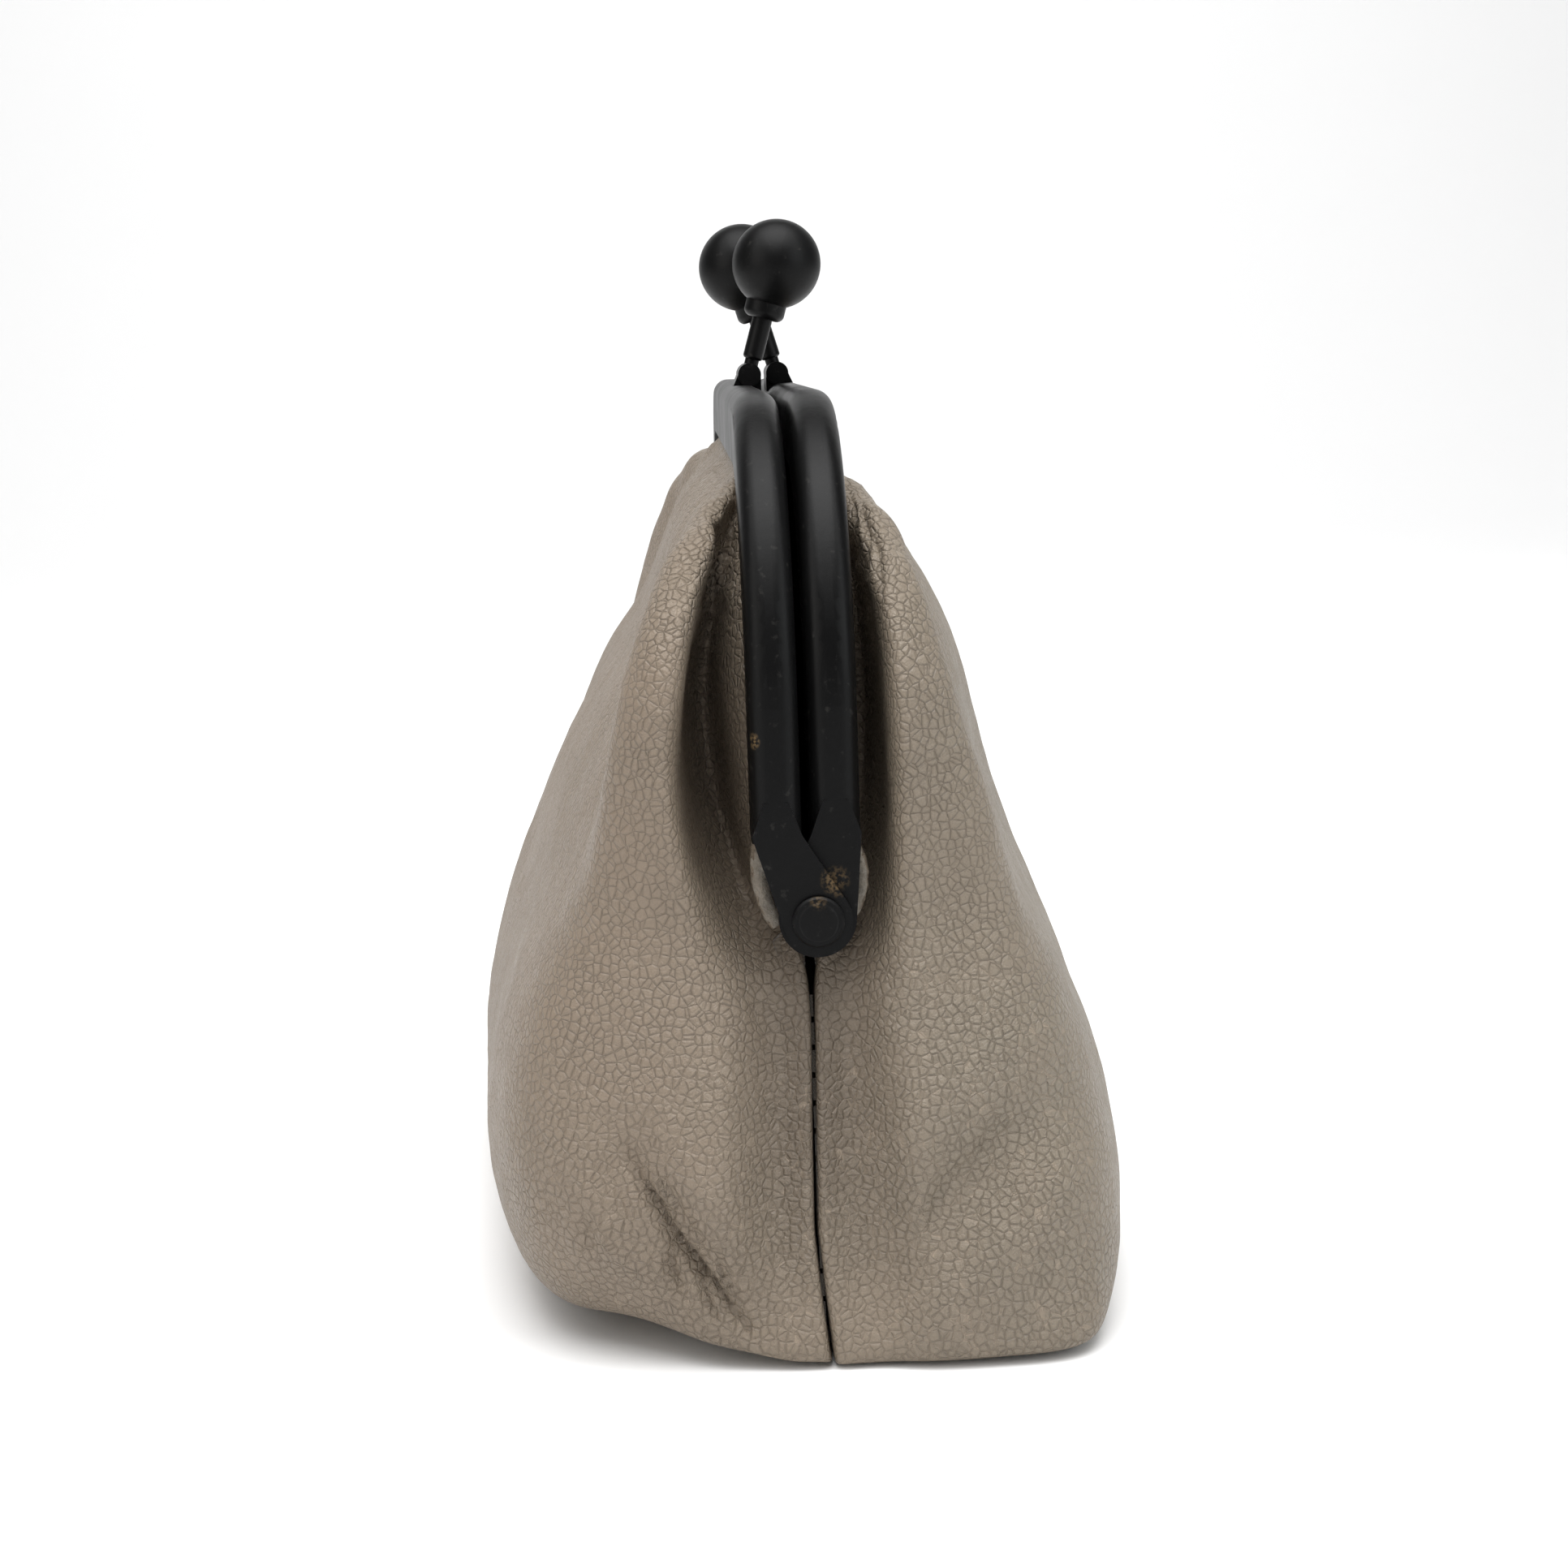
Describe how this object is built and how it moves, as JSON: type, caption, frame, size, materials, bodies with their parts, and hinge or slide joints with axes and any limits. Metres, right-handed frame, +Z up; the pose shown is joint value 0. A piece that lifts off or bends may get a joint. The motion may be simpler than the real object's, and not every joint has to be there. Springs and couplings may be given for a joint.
{
  "type": "kiss lock frame purse",
  "caption": "Leather pouch on a hinged metal frame whose halves close with a ball kiss lock.",
  "frame": {"origin": "centre of the pouch's base on the table, in the middle plane between the frame halves", "axes": "+X along the purse, +Y from front to back, +Z up; the front half's lock is on the +X side"},
  "size_m": [0.223, 0.0888, 0.1384],
  "materials": {
    "black_metal": "satin black, worn at the edges",
    "rivet_metal": "satin black",
    "paper_cord": "twisted paper cord",
    "leather": "pebbled, taupe grey, matt",
    "lining": "plain weave",
    "thread": "waxed thread"
  },
  "bodies": {
    "pouch": {"leather_front": "leather", "leather_back": "leather", "lining_front": "lining", "lining_back": "lining", "side_seam_thread_right": "thread", "side_seam_thread_left": "thread", "base_seam_thread": "thread"},
    "front_half": {"frame_front": "black_metal", "hinge_rivet_right": "rivet_metal", "hinge_rivet_left": "rivet_metal", "hinge_washer_right": "rivet_metal", "hinge_washer_left": "rivet_metal", "paper_cord_front": "paper_cord", "lock_foot_front": "black_metal", "lock_stem_front": "black_metal", "lock_collar_front": "black_metal", "lock_ball_front": "black_metal"},
    "back_half": {"frame_back": "black_metal", "paper_cord_back": "paper_cord", "lock_foot_back": "black_metal", "lock_stem_back": "black_metal", "lock_collar_back": "black_metal", "lock_ball_back": "black_metal"}
  },
  "joints": [
    {"name": "front_hinge", "type": "hinge", "parent": "pouch", "child": "front_half", "pos_m": [0, 0.001, 0.053], "axis": [1, 0, 0], "range_deg": [0, 45], "deforming": ["leather_front", "lining_front"]},
    {"name": "back_hinge", "type": "hinge", "parent": "pouch", "child": "back_half", "pos_m": [0, 0.001, 0.053], "axis": [1, 0, 0], "range_deg": [-45, 0], "deforming": ["leather_back", "lining_back"]}
  ],
  "couplings": [
    {"joint": "back_hinge", "follows": "front_hinge", "ratio": -1}
  ]
}
